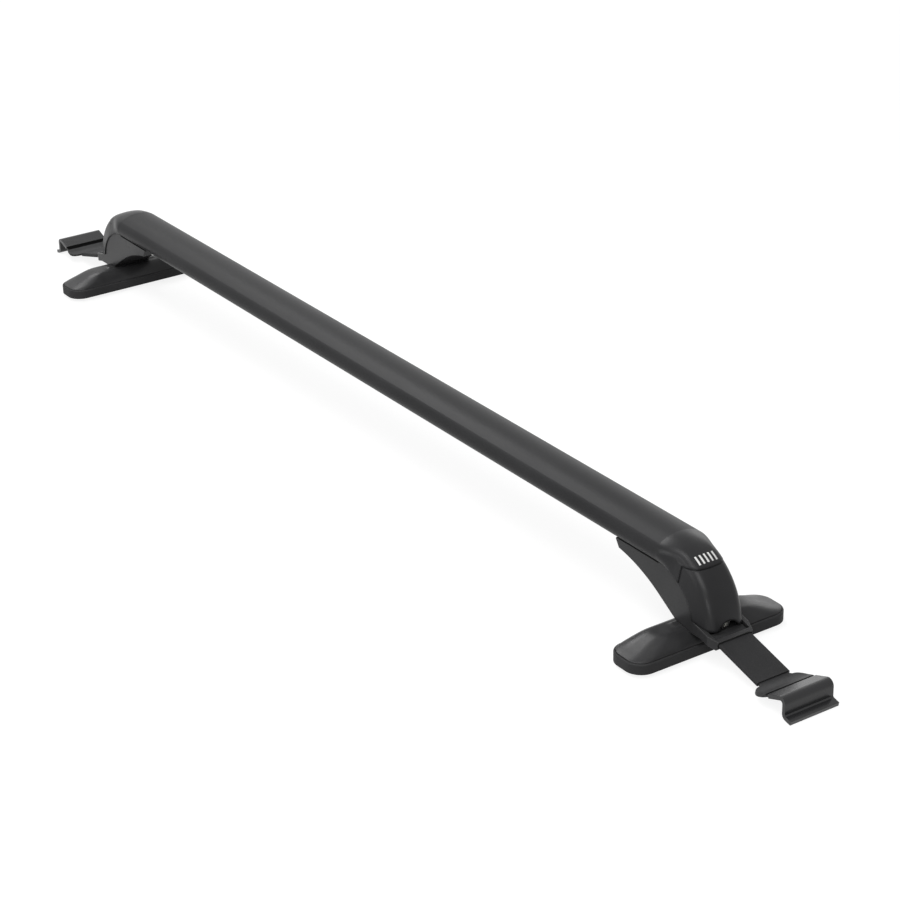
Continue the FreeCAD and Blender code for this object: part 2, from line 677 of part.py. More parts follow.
def rubber_pad(side):
    """Rubber shoe with a rim round the base and grooves underneath."""
    body = new_body(f"rubber_pad_{side}")
    outline = new_sketch(body, "pad_outline", "XY_Plane")
    rounded(outline, size("pad_length"), size("pad_width"), size("pad_corner"))
    block = pad(body, outline, "sizes.pad_height")
    edges = [f"Edge{number}" for number, edge in enumerate(block.Shape.Edges, start=1)
             if edge.BoundBox.ZMin > size("pad_height") - TOUCH]
    soft = body.newObject("PartDesign::Fillet", "rim_rounding")
    soft.Base = (block, edges)
    bind(soft, Radius="sizes.pad_edge")
    doc.recompute()
    tray = new_sketch(body, "pad_tray", "XY_Plane", size("pad_height"))
    rim = size("pad_rim")
    rounded(tray, size("pad_length") - 2 * rim, size("pad_width") - 2 * rim,
            size("pad_corner") - rim)
    pocket(body, tray, "sizes.pad_height - sizes.pad_floor")
    tread = new_sketch(body, "first_groove", "XY_Plane")
    first = -size("tread_pitch") * (size("tread_count") - 1) / 2
    half = size("tread_width") / 2
    reach = size("pad_width") / 2 - size("tread_margin")
    box_outline(tread, (-reach, first - half), (reach, first + half))
    cut = pocket(body, tread, "sizes.tread_depth", backward=True)
    pattern = body.newObject("PartDesign::LinearPattern", "grooves")
    pattern.Originals = [cut]
    pattern.Direction = (plane(body, "Y_Axis"), [""])
    bind(pattern, Length="sizes.tread_pitch * (sizes.tread_count - 1)",
         Occurrences="sizes.tread_count")
    body.Tip = pattern
    doc.recompute()
    place(body, side, PAD_X_RULE)


def base_shell(side):
    """Crowned base on the pad, with a seat cut for the foot."""
    body = new_body(f"base_shell_{side}")
    inset = size("pad_rim") + size("base_room")
    length = size("pad_length") - 2 * inset
    width = size("pad_width") - 2 * inset
    corner = size("pad_corner") - inset
    floor = size("pad_floor")
    skirt = new_sketch(body, "base_outline", "XY_Plane", floor)
    rounded(skirt, length, width, corner)
    pad(body, skirt, "sizes.base_wall")
    rings = []
    for number, (step, long_share, wide_share) in enumerate(CROWN_RINGS):
        height = floor + size("base_wall") + step * size("crown_height")
        ring = new_sketch(body, f"crown_ring_{number}", "XY_Plane", height)
        rounded(ring, length * long_share, width * wide_share, corner * wide_share)
        rings.append(ring)
    crown = body.newObject("PartDesign::AdditiveLoft", "crown")
    crown.Profile = rings[0]
    crown.Sections = rings[1:]
    crown.Ruled = False
    doc.recompute()

    seat = new_sketch(body, "foot_seat", "XZ_Plane")
    slope = math.radians(size("arch_slope"))
    front = arch_foot_x - pad_x
    rise = size("crown_height")
    back = front - rise / math.tan(slope)
    level = size("seat_level")
    trace(seat, (front, level), (size("pad_width"), level),
          (size("pad_width"), level + rise), (back, level + rise), (front, level))
    pocket(body, seat, "sizes.foot_width + 2 * sizes.foot_gap", midplane=True)
    wells = new_sketch(body, "screw_wells", "XY_Plane", floor)
    holes = new_sketch(body, "screw_holes", "XY_Plane", floor)
    for sign in (1, -1):
        spot = (size("pad_back") - size("post_back"), sign * size("post_pitch") / 2)
        circle(wells, spot, "sizes.post_head + 2 * sizes.post_room")
        circle(holes, spot, "sizes.post_shank + 2 * sizes.post_room")
    pocket(body, wells, "sizes.post_head_height + sizes.post_sink", backward=True)
    pocket(body, holes, "sizes.seat_level", backward=True)
    place(body, side, PAD_X_RULE)


def base_screws(side):
    """Two screws from under the base up into the foot."""
    body = new_body(f"base_screws_{side}")
    under = size("pad_floor") + size("post_sink")
    head = new_sketch(body, "screw_heads", "XY_Plane", under)
    shank = new_sketch(body, "screw_shanks", "XY_Plane", under)
    for sign in (1, -1):
        circle(head, (0, sign * size("post_pitch") / 2), "sizes.post_head")
        circle(shank, (0, sign * size("post_pitch") / 2), "sizes.post_shank")
    pad(body, head, "sizes.post_head_height")
    pad(body, shank, "sizes.seat_level - sizes.pad_floor - sizes.post_sink"
        " + sizes.post_depth")
    place(body, side, "sizes.bend_radius - sizes.post_back")


def hook_turns(thick):
    """Corners and radii of the hook's folds in the strap's frame, for one thickness."""
    rise = math.radians(size("rise_angle"))
    lip = math.radians(size("lip_angle"))
    flange_x = strap_x + size("flange_reach")
    dip = along(size("dip_reach") / math.cos(tilt), 0)
    crest_z = dip[1] + (flange_x - dip[0]) * math.tan(rise)
    lip_x = flange_x + size("lip_length")
    lip_z = size("boot_thick") / 2 * math.cos(lip) - size("hook_drop") - axis_level
    fold_z = lip_z + size("lip_length") * math.tan(lip)
    end = (lip_x - thick * math.cos(lip), lip_z + thick * math.sin(lip))
    boot_x = strap_x + size("boot_reach")
    boot = (boot_x, dip[1] + (boot_x - dip[0]) * math.tan(rise))
    corners = [dip, (flange_x, crest_z), (flange_x, fold_z), end, boot]
    return [strap_frame(*spot) for spot in corners]


def folded(sketch, start, corners, radii, end):
    """A line with rounded corners, drawn through its folds."""
    spots = [start] + corners + [end]
    steps = []
    for before, corner, after, radius in zip(spots, spots[1:], spots[2:], radii):
        here = Vector(*corner, 0)
        back = (Vector(*before, 0) - here).normalize()
        ahead = (Vector(*after, 0) - here).normalize()
        half = back.getAngle(ahead) / 2
        trim = radius / math.tan(half)
        inward = (back + ahead).normalize()
        middle = here + inward * (radius / math.sin(half) - radius)
        first, last = here + back * trim, here + ahead * trim
        steps.append((first.x, first.y))
        steps.append(((middle.x, middle.y), (last.x, last.y)))
    trace(sketch, start, *steps, end, closed=False)


def pipe(body, section, path, kind="AdditivePipe"):
    feature = body.newObject("PartDesign::" + kind, section.Name + "_pipe")
    feature.Profile = section
    feature.Spine = path
    doc.recompute()
    return feature


def hook_strap(side):
    """Steel strap: turned-up end, strip, lobed plate and folded hook."""
    body = new_body(f"hook_strap_{side}")
    dip, crest, fold, end, boot = hook_turns(size("boot_end"))
    radii = [size("dip_radius"), size("crest_radius"), size("lip_radius")]
    path = new_sketch(body, "strap_path", "XZ_Plane")
    folded(path, (0, 0), [dip, crest, fold], radii, end)
    section = new_sketch(body, "strap_section", "YZ_Plane")
    half = size("strap_thick") / 2
    wide = size("lobe_width") / 2
    box_outline(section, (-wide, -half), (wide, half))
    pipe(body, section, path)

    far = size("cut_through")
    back = -size("cut_over")
    plan = new_sketch(body, "strap_plan", "XY_Plane", far / 2)
    narrow = size("strap_width") / 2
    inside = size("boot_width") / 2 - size("boot_thick") / 2 + half
    waist = size("waist_radius")
    edge_x = boot[0] - size("boot_thick") / 2
    lobe, root = size("lobe_radius"), size("root_radius")
    start = size("lobe_start")
    ease = math.sqrt(0.5)
    turn_x = start + lobe * (1 - ease)
    for sign in (1, -1):
        trace(
            plan, (back, sign * narrow), (start - root, sign * narrow),
            ((start - root * (1 - ease), sign * (narrow + root * (1 - ease))),
             (start, sign * (narrow + root))),
            (start, sign * (wide - lobe)),
            ((turn_x, sign * (wide - lobe * (1 - ease))), (start + lobe, sign * wide)),
            (edge_x - waist, sign * wide),
            ((edge_x - waist * (1 - ease), sign * (wide - (wide - inside) * (1 - ease))),
             (edge_x, sign * inside)),
            (end[0] + far, sign * inside), (end[0] + far, sign * far),
            (back, sign * far), (back, sign * narrow))
    pocket(body, plan, "sizes.cut_through")
    tab = new_sketch(body, "strap_tab", "YZ_Plane")
    side_y, top = size("tab_width") / 2, size("tab_height")
    bend = size("tab_round")
    trace(tab, (side_y, -half), (side_y, top - bend),
          ((side_y - bend * (1 - ease), top - bend * (1 - ease)), (side_y - bend, top)),
          (bend - side_y, top),
          ((bend * (1 - ease) - side_y, top - bend * (1 - ease)), (-side_y, top - bend)),
          (-side_y, -half), (side_y, -half))
    pad(body, tab, "sizes.tab_thick")
    hole = new_sketch(body, "tab_hole", "YZ_Plane")
    circle(hole, (0, size("screw_offset")), "sizes.screw_shank + 2 * sizes.screw_room")
    pocket(body, hole, "sizes.tab_thick", backward=True)
    place(body, side, STRAP_X_RULE, "sizes.strap_level", tilted=True)


def hook_boot(side):
    """Boot over the hook's crest, flange and lip."""
    body = new_body(f"hook_boot_{side}")
    dip, crest, fold, end, boot = hook_turns(0.0)
    steel_end = hook_turns(size("boot_end") - size("boot_room"))[3]
    radii = [size("crest_radius"), size("lip_radius")]
    path = new_sketch(body, "boot_path", "XZ_Plane")
    folded(path, boot, [crest, fold], radii, end)
    inner_path = new_sketch(body, "boot_inner_path", "XZ_Plane")
    folded(inner_path, boot, [crest, fold], radii, steel_end)
    lean = size("rise_angle") + size("strap_tilt")
    sections = []
    for name, thick, wide in (
            ("boot_section", size("boot_thick"), size("boot_width")),
            ("boot_hollow", size("strap_thick") + 2 * size("boot_room"),
             size("boot_width") - size("boot_thick") + size("strap_thick")
             + 2 * size("boot_room"))):
        section = body.newObject("Sketcher::SketchObject", name)
        section.AttachmentSupport = [(plane(body, "YZ_Plane"), "")]
        section.MapMode = "FlatFace"
        section.AttachmentOffset = Placement(
            Vector(0, boot[1], boot[0]), Rotation(Vector(1, 0, 0), -lean))
        box_outline(section, (-wide / 2, -thick / 2), (wide / 2, thick / 2))
        sections.append(section)
    pipe(body, sections[0], path)
    pipe(body, sections[1], inner_path, "SubtractivePipe")
    place(body, side, STRAP_X_RULE, "sizes.strap_level", tilted=True)


def strap_sleeve(side):
    """Flat tube over the strap."""
    body = new_body(f"strap_sleeve_{side}")
    outer = new_sketch(body, "sleeve_section", "YZ_Plane", size("sleeve_start"))
    wide, thick = size("sleeve_width") / 2, size("sleeve_thick") / 2
    box_outline(outer, (-wide, -thick), (wide, thick))
    tube = pad(body, outer, "sizes.sleeve_end - sizes.sleeve_start")
    edges = [f"Edge{number}" for number, edge in enumerate(tube.Shape.Edges, start=1)
             if edge.BoundBox.XLength > size("sleeve_thick")
             and edge.BoundBox.YLength < TOUCH and edge.BoundBox.ZLength < TOUCH]
    soft = body.newObject("PartDesign::Fillet", "sleeve_rounding")
    soft.Base = (tube, edges)
    bind(soft, Radius="sizes.sleeve_round")
    doc.recompute()
    start = size("sleeve_start") - size("cut_over")
    bore = new_sketch(body, "sleeve_bore", "YZ_Plane", start)
    wide = size("strap_width") / 2 + size("sleeve_room")
    thick = size("strap_thick") / 2 + size("sleeve_room")
    box_outline(bore, (-wide, -thick), (wide, thick))
    pocket(body, bore, "sizes.sleeve_end", backward=True)
    place(body, side, STRAP_X_RULE, "sizes.strap_level", tilted=True)


def tension_screw(side):
    """Socket-head screw whose head pushes the strap's turned-up end inboard."""
    body = new_body(f"tension_screw_{side}")
    under = size("tab_thick") + size("collar_thick")
    top = under + size("screw_head_height")
    tip = under - size("screw_length")
    shank, head = size("screw_shank") / 2, size("screw_head") / 2
    edge = size("screw_chamfer")
    profile = new_sketch(body, "screw_profile", "XZ_Plane")
    trace(profile, (tip, 0), (tip, shank - edge), (tip + edge, shank), (under, shank),
          (under, head), (top - edge, head), (top, head - edge), (top, 0), (tip, 0))
    feature = body.newObject("PartDesign::Revolution", "screw_turn")
    feature.Profile = profile
    feature.ReferenceAxis = (plane(body, "X_Axis"), [""])
    feature.Angle = 360.0
    doc.recompute()
    socket = new_sketch(body, "screw_socket", "YZ_Plane", top)
    hexagon(socket, (0, 0), size("socket_flats"))
    pocket(body, socket, "sizes.socket_depth")
    place(body, side, SCREW_X_RULE, SCREW_Z_RULE, tilted=True)


def screw_washer(side):
    """Washer between the screw's head and the strap."""
    body = new_body(f"screw_washer_{side}")
    ring = new_sketch(body, "collar_ring", "YZ_Plane", size("tab_thick"))
    circle(ring, (0, 0), "sizes.collar_width")
    circle(ring, (0, 0), "sizes.screw_shank + 2 * sizes.screw_room")
    pad(body, ring, "sizes.collar_thick")
    place(body, side, SCREW_X_RULE, SCREW_Z_RULE, tilted=True)


def anchor_nut(side):
    """Square nut in the slot of the foot's rib."""
    body = new_body(f"anchor_nut_{side}")
    block = new_sketch(body, "nut_block", "YZ_Plane", -size("nut_reach"))
    half = size("nut_width") / 2
    box_outline(block, (-half, -half), (half, half))
    circle(block, (0, 0), "sizes.screw_shank + 2 * sizes.screw_room")
    pad(body, block, "sizes.nut_thick")
    place(body, side, SCREW_X_RULE, SCREW_Z_RULE, tilted=True)


END_PIECES = (
    foot, cover, nut_plate, saddle_bolts, saddle_washers, base_shell, rubber_pad,
    base_screws, hook_strap, strap_sleeve, hook_boot, tension_screw, screw_washer,
    anchor_nut)


def check_and_write():
    """Stop on any failed object, then write each piece to its own file."""
    doc.recompute()
    for thing in doc.Objects:
        if "Invalid" in thing.State or "Error" in thing.State:
            raise ValueError(f"{thing.Label}: {thing.State}")
    bodies = [thing for thing in doc.Objects if thing.TypeId == "PartDesign::Body"]
    for body in bodies:
        if body.Shape.isNull() or not body.Shape.isValid():
            raise ValueError(f"{body.Label}: no valid shape")
    os.makedirs("parts", exist_ok=True)
    for body in bodies:
        body.Shape.exportStep(f"parts/{body.Label}.step")
        box = body.Shape.BoundBox
        print(f"{body.Label}: {len(body.Shape.Solids)} solids, {body.Shape.Volume:.0f} mm3,"
              f" x {box.XMin:.1f}..{box.XMax:.1f}, y {box.YMin:.1f}..{box.YMax:.1f},"
              f" z {box.ZMin:.1f}..{box.ZMax:.1f}")


bar_extrusion()
for end in SIDES:
    for piece in END_PIECES:
        piece(end)
check_and_write()
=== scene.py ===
"""Looks of the roof rack crossbar: materials, drawn pieces, camera, floor and light."""
import json
import math

import bmesh
import bpy
from mathutils import Matrix, Vector


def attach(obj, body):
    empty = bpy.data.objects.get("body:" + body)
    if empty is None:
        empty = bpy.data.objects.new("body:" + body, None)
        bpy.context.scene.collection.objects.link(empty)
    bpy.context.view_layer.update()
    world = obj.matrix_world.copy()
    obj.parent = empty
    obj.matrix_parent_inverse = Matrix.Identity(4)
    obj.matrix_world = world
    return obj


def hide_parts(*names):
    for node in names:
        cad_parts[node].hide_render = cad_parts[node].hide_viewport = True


MM = 0.001
SIDES = {"right": 1, "left": -1}

# Sizes repeated from the part's source, in millimetres and degrees. The sweep is the
# quarter turn at each end of the bar: its axis runs along the car at BAR_END and
# AXIS_LEVEL, and heights on it are counted from BEND_RADIUS.
BAR_END = 466.0
AXIS_LEVEL = 25.0
BEND_RADIUS = 50.5
SEAM_RISE = 49.3
SEAM_REACH = 25.2
COVER_GAP = 0.4
WEB_RADIUS = 43.0
PLATE_HALF = 21.0
COVER_RISE = 12.7
COVER_CROWN = 80.0
COVER_RIDGE = 4.5
COVER_FOOT = (21.9, -7.1)
COVER_LEAN = 17.0
OVAL_HALF_WIDTH = 24.25
OVAL_HALF_HEIGHT = 13.5
OVAL_NOSE = 9.5
LANE_HALF = 17.2
LANE_CROWN = 36.3
LANE_HUB = 25.2
SCREW_ORIGIN = (516.509, 33.46)
STRAP_TILT = 15.08
HEAD_START = 3.5
HEAD_LENGTH = 5.0
HEAD_RADIUS = 4.25
SHANK_RADIUS = 2.6
SHANK_LENGTH = 33.5
THREAD_PITCH = 1.0

# The softer ridge of the cover, whose crown stays as it is up to an angle, and the
# skin of the swept end, which stands a little proud of the cover. The skin starts on
# the bar with a thin film that fades out row by row. Shares run over half a section,
# from its crest to the side plate.
SOFT_RIDGE = 9.5
STILL_CROWN = math.radians(7.2)
SKIN_PROUD = 0.4
SKIN_BLEND = 25.0
SKIN_OVERLAP = 0.8
SKIN_KEY = 0.62
SKIN_ROWS = 26
SKIN_HALF = 34
SKIN_TUCK = (20.6, -7.4)
SKIN_EDGE = 0.06
SKIN_LIMIT = math.radians(44.0)
FILM_THICKNESS = 0.04
FILM_FADE = 0.2
CREST_LIMIT = OVAL_HALF_HEIGHT - 0.005
KEY_SLOPE = math.radians(35.0)
SHARP_ANGLE = math.radians(32.0)
ARC_STEPS = 40
SETTLING_ROUNDS = 30
HALVING_ROUNDS = 40

# Ticks, knurling, thread, and a near-black strip of painted shadow along the boot's edge.
TICK_COUNT = 5
TICK_PITCH = 4.2
TICK_WIDTH = 1.7
TICK_ANGLES = (27.5, 35.0)
TICK_LIFT = 0.12
TICK_SINK = 0.2
TICK_STEPS = 8
KNURL_COUNT = 30
KNURL_DEPTH = 0.18
KNURL_EDGE = 0.6
THREAD_STEPS = 24
THREAD_HEIGHT = 0.28
THREAD_ROOT = -0.12
THREAD_HALF = 0.4
THREAD_SINK = 0.1
THREAD_START = 1.0
THREAD_BARE = 7.5
EDGE_NEAR = (599.2, 12.22)
EDGE_FAR = (603.4, 13.80)
EDGE_HALF = 23.9
EDGE_LIFT = 0.08
EDGE_SINK = 0.3

# Materials. Scales are per metre, and lengths are in metres.
CLOUD_SCALE = 38.0
CLOUD_DETAIL = 4.0
CLOUD_RANGE = (0.3, 0.7)
TINT_RANGE = (0.35, 0.65)
TINT_SHIFT = 0.12
WORN_SCALE = 160.0
WORN_DETAIL = 5.0
WORN_RANGE = (0.35, 0.6)
WORN_LEAST = 0.25
WORN_REACH = 1.6
EDGE_BEND = (0.86, 0.99)
GRAIN_DETAIL = 2.0
GRAIN_HEIGHT = 0.0002
BEVEL_SAMPLES = 6
COAT_ROUGHNESS = 0.16
ZINC_DARK = (0.50, 0.50, 0.49, 1)
ZINC_LIGHT = (0.66, 0.66, 0.63, 1)
ZINC_ROUGHNESS = (0.26, 0.44)
ZINC_CLOUD = 90.0
ZINC_DETAIL = 5.0
ZINC_GRAIN = 2200.0
ZINC_DEPTH = 0.25
ZINC_HEIGHT = 0.0001
ZINC_SOFT = 0.00025

# Camera, floor and light, in metres. A lamp has a name, a place, a width and a power.
YAW = math.radians(56.65)
PITCH = math.radians(25.42)
ROLL = math.radians(1.52)
CAMERA_PLACE = (1.79317, -1.08925, 0.97704)
LENS = 97.15
SENSOR = 36.0
CLIP_END = 20.0
FLOOR_HALF = 6.0
FLOOR_TONE = (0.22, 0.22, 0.22, 1)
FLOOR_GLOW = 0.86
WORLD_TONE = (1, 1, 1, 1)
WORLD_PLAIN = 0.16
LAMP_AIM = Vector((0, 0, 0.05))
LAMPS = (
    ("high_lamp", (-1.9, 0.1, 2.1), 1.1, 26.0),
    ("top_lamp", (0.3, -0.9, 2.7), 1.0, 25.0),
    ("key_lamp", (-0.4, -3.0, 1.2), 1.4, 23.0),
    ("back_lamp", (-1.2, 2.6, 1.1), 1.2, 8.0),
    ("side_lamp", (2.3, -1.9, 0.45), 0.6, 9.0),
    ("ridge_lamp", (1.75, -1.25, 2.0), 1.2, 26.0),
)

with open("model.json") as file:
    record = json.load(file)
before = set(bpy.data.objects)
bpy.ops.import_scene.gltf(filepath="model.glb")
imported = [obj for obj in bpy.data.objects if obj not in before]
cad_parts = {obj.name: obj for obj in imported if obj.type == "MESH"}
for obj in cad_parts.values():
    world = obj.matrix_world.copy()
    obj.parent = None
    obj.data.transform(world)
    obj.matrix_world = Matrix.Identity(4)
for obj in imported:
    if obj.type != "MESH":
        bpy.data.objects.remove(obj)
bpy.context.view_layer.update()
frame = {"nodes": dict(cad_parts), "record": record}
nodes = frame["nodes"]


class Shader:
    """A material and short ways to add and join its nodes."""

    def __init__(self, name):
        self.material = bpy.data.materials.new(name)
        self.material.use_nodes = True
        self.tree = self.material.node_tree
        self.tree.nodes.clear()
        self.output = self.add("ShaderNodeOutputMaterial")
        self.surface = self.add("ShaderNodeBsdfPrincipled")
        self.join(self.surface, "BSDF", self.output, "Surface")
        self.place = self.add("ShaderNodeTexCoord")

    def add(self, kind, **values):
        """A node, with values for its sockets or its own settings."""
        node = self.tree.nodes.new(kind)
        for key, value in values.items():
            if key in node.inputs:
                node.inputs[key].default_value = value
            else:
                setattr(node, key, value)
        return node

    def join(self, source, output, target, socket):
        """A link from one node's output to another's socket."""
        self.tree.links.new(source.outputs[output], target.inputs[socket])

    def noise(self, scale, detail, stretch=(1, 1, 1)):
        """Noise in the object's own coordinates."""
        mapping = self.add("ShaderNodeMapping", Scale=stretch)
        self.join(self.place, "Object", mapping, "Vector")
        noise = self.add("ShaderNodeTexNoise", Scale=scale, Detail=detail)
        self.join(mapping, "Vector", noise, "Vector")
        return noise

    def ranged(self, source, output, wanted, given):
        """A value brought from the given range to the wanted one."""
        node = self.add("ShaderNodeMapRange")
        node.inputs["From Min"].default_value = given[0]
        node.inputs["From Max"].default_value = given[1]
        node.inputs["To Min"].default_value = wanted[0]
        node.inputs["To Max"].default_value = wanted[1]
        self.join(source, output, node, "Value")
        return node

    def mix(self, source, output):
        """A mix of two colours by a value."""
        node = self.add("ShaderNodeMix", data_type="RGBA", blend_type="MIX")
        self.join(source, output, node, "Factor")
        return node

    def edge_mask(self, radius):
        """One where the surface bends within a radius, and zero on open faces."""
        bevel = self.add("ShaderNodeBevel", samples=BEVEL_SAMPLES, Radius=radius)
        plain = self.add("ShaderNodeNewGeometry")
        dot = self.add("ShaderNodeVectorMath", operation="DOT_PRODUCT")
        self.join(bevel, "Normal", dot, 0)
        self.join(plain, "Normal", dot, 1)
        return self.ranged(dot, "Value", (1.0, 0.0), EDGE_BEND)

    def grained(self, grain, depth, height, soft, stretch=(1, 1, 1)):
        """Fine grain on edges that look rounded by a radius."""
        fine = self.noise(grain, GRAIN_DETAIL, stretch)
        rounded = self.add("ShaderNodeBevel", samples=BEVEL_SAMPLES, Radius=soft)
        bump = self.add("ShaderNodeBump", Strength=depth, Distance=height)
        self.join(fine, "Fac", bump, "Height")
        self.join(rounded, "Normal", bump, "Normal")
        self.join(bump, "Normal", self.surface, "Normal")


def coated(name, colour, roughness, level, grain, depth, soft, wear=0.0, spread=0.12,
           stretch=(1, 1, 1), coat=0.0):
    """A dark moulded or painted surface: grain, faint mottling, rubbed edges."""
    made = Shader(name)
    surface = made.surface
    surface.inputs["Specular IOR Level"].default_value = level
    if coat:
        surface.inputs["Coat Weight"].default_value = coat
        surface.inputs["Coat Roughness"].default_value = COAT_ROUGHNESS
    cloud = made.noise(CLOUD_SCALE, CLOUD_DETAIL, stretch)
    wanted = (roughness - spread / 2, roughness + spread / 2)
    rough = made.ranged(cloud, "Fac", wanted, CLOUD_RANGE)
    made.join(rough, "Result", surface, "Roughness")
    fade = made.ranged(cloud, "Fac", (0.0, 1.0), TINT_RANGE)
    tint = made.mix(fade, "Result")
    tint.inputs["A"].default_value = (*[c * (1 - TINT_SHIFT) for c in colour], 1)
    tint.inputs["B"].default_value = (*[min(1.0, c * (1 + TINT_SHIFT)) for c in colour], 1)
    last = tint
    if wear:
        mask = made.edge_mask(soft * WORN_REACH)
        patch = made.noise(WORN_SCALE, WORN_DETAIL)
        broken = made.ranged(patch, "Fac", (WORN_LEAST, 1.0), WORN_RANGE)
        share = made.add("ShaderNodeMath", operation="MULTIPLY")
        made.join(mask, "Result", share, 0)
        made.join(broken, "Result", share, 1)
        last = made.mix(share, "Value")
        made.join(tint, "Result", last, "A")
        last.inputs["B"].default_value = (*[min(1.0, c + wear) for c in colour], 1)
    made.join(last, "Result", surface, "Base Color")
    made.grained(grain, depth, GRAIN_HEIGHT, soft, stretch)
    return made.material


def zinc(name):
    """Plated steel with a mottled tone and a fine grain."""
    made = Shader(name)
    surface = made.surface
    surface.inputs["Metallic"].default_value = 1.0
    cloud = made.noise(ZINC_CLOUD, ZINC_DETAIL)
    tint = made.mix(cloud, "Fac")
    tint.inputs["A"].default_value = ZINC_DARK
    tint.inputs["B"].default_value = ZINC_LIGHT
    made.join(tint, "Result", surface, "Base Color")
    rough = made.ranged(cloud, "Fac", ZINC_ROUGHNESS, CLOUD_RANGE)
    made.join(rough, "Result", surface, "Roughness")
    made.grained(ZINC_GRAIN, ZINC_DEPTH, ZINC_HEIGHT, ZINC_SOFT)
    return made.material


# A paint has a name, a colour, its roughness and sheen, how fine and how deep its
# grain is, and the radius by which its edges look rounded.
PAINT = {
    "bar_black": coated("bar_satin", (0.024, 0.024, 0.025), 0.40, 0.1, 1500.0, 0.2,
                        0.0003, spread=0.06, stretch=(0.35, 1, 1)),
    "moulded_black": coated("moulded_grain", (0.029, 0.029, 0.030), 0.33, 0.18, 1300.0,
                            0.35, 0.0010, wear=0.03),
    "cap_black": coated("cap_satin", (0.014, 0.014, 0.015), 0.35, 0.22, 1300.0,
                        0.25, 0.003),
    "rubber_black": coated("rubber_matte", (0.034, 0.034, 0.035), 0.6, 0.14, 900.0,
                           0.5, 0.0008, wear=0.012),
    "strap_black": coated("strap_paint", (0.026, 0.026, 0.027), 0.36, 0.16, 700.0, 0.3,
                          0.0005, wear=0.05),
    "sleeve_black": coated("sleeve_grain", (0.030, 0.030, 0.031), 0.6, 0.1, 800.0,
                           0.7, 0.0006, wear=0.01),
    "boot_black": coated("boot_gloss", (0.009, 0.009, 0.010), 0.24, 0.26, 500.0, 0.12,
                         0.0005, coat=0.32, spread=0.03),
    "zinc_steel": zinc("zinc_plate"),
}
# Near-black paint for the strip at the boot's inboard edge: painted shadow, standing in for
# the shade under the boot's edge.
BOOT_SHADOW_PAINT = coated("boot_painted_shadow", (0.003, 0.003, 0.003), 0.8, 0.02, 300.0, 0.1, 0.0001)
INDEX_WHITE = coated("index_white", (0.78, 0.78, 0.77), 0.5, 0.4, 900.0, 0.15, 0.0001)


def arc_points(centre, radius, first, last):
    """Points of an arc; the angles are from upright, towards +Y."""
    spots = []
    for step in range(ARC_STEPS + 1):
        angle = first + (last - first) * step / ARC_STEPS
        spots.append((centre[0] + radius * math.sin(angle),
                      centre[1] + radius * math.cos(angle)))
    return spots


def oval_half():
    """The bar's section from its crest to the side plate."""
    crown = (((OVAL_HALF_WIDTH - OVAL_NOSE) ** 2 + OVAL_HALF_HEIGHT ** 2 - OVAL_NOSE ** 2)
             / (2 * (OVAL_HALF_HEIGHT - OVAL_NOSE)))
    hub = (0.0, OVAL_HALF_HEIGHT - crown)
    nose = (OVAL_HALF_WIDTH - OVAL_NOSE, 0.0)
    joint = math.atan2(nose[0], nose[1] - hub[1])
    under = math.pi - math.asin((PLATE_HALF - nose[0]) / OVAL_NOSE)
    return (arc_points(hub, crown, 0.0, joint)
            + arc_points(nose, OVAL_NOSE, joint, under)[1:])


SIDE_LEAN = math.radians(COVER_LEAN)
SIDE_UP = Vector((-math.sin(SIDE_LEAN), math.cos(SIDE_LEAN)))
SIDE_IN = Vector((-math.cos(SIDE_LEAN), -math.sin(SIDE_LEAN)))
SIDE_FOOT = Vector(COVER_FOOT)
SIDE_SLOPE = math.pi / 2 - SIDE_LEAN
CROWN_HUB = Vector((0.0, COVER_RISE - COVER_CROWN))


class Ridge:
    """The ridge between the cover's side and its crown, for one radius."""

    def __init__(self, radius):
        self.radius = radius
        offset = SIDE_FOOT + SIDE_IN * radius - CROWN_HUB
        slide = offset.dot(SIDE_UP)
        reach = (COVER_CROWN - radius) ** 2 - offset.dot(offset)
        self.length = math.sqrt(slide ** 2 + reach) - slide
        self.centre = SIDE_FOOT + SIDE_IN * radius + SIDE_UP * self.length
        out = self.centre - CROWN_HUB
        self.joint = math.atan2(out.x, out.y)


TIGHT = Ridge(COVER_RIDGE)
SOFT = Ridge(SOFT_RIDGE)


def ridged_half():
    """The cover's section from its crest to the side plate, a little proud."""
    spots = arc_points(CROWN_HUB, COVER_CROWN + SKIN_PROUD, 0.0, SOFT.joint)
    spots += arc_points(SOFT.centre, SOFT.radius + SKIN_PROUD, SOFT.joint, SIDE_SLOPE)[1:]
    spots.append(tuple(SIDE_FOOT - SIDE_IN * SKIN_PROUD))
    return spots


def softened(y, height):
    """A point of the cover's section, moved from the tight ridge to the soft one."""
    spot = Vector((abs(y), height))
    from_hub = spot - CROWN_HUB
    from_foot = spot - SIDE_FOOT
    turn = math.atan2(from_hub.x, from_hub.y)
    run = from_foot.dot(SIDE_UP)
    if turn <= TIGHT.joint:
        past = max(0.0, turn - STILL_CROWN)
        room = (SOFT.joint - STILL_CROWN) / (TIGHT.joint - STILL_CROWN)
        turned = min(turn, STILL_CROWN) + past * room
        moved = CROWN_HUB + Vector((math.sin(turned), math.cos(turned))) * from_hub.length
    elif run < TIGHT.length:
        moved = (SIDE_FOOT + SIDE_UP * run * SOFT.length / TIGHT.length
                 + SIDE_IN * from_foot.dot(SIDE_IN))
    else:
        from_centre = spot - TIGHT.centre
        turn = math.atan2(from_centre.x, from_centre.y)
        share = (turn - TIGHT.joint) / (SIDE_SLOPE - TIGHT.joint)
        turned = SOFT.joint + (SIDE_SLOPE - SOFT.joint) * share
        reach = SOFT.radius - TIGHT.radius + from_centre.length
        moved = SOFT.centre + Vector((math.sin(turned), math.cos(turned))) * reach
    return math.copysign(moved.x, y), moved.y


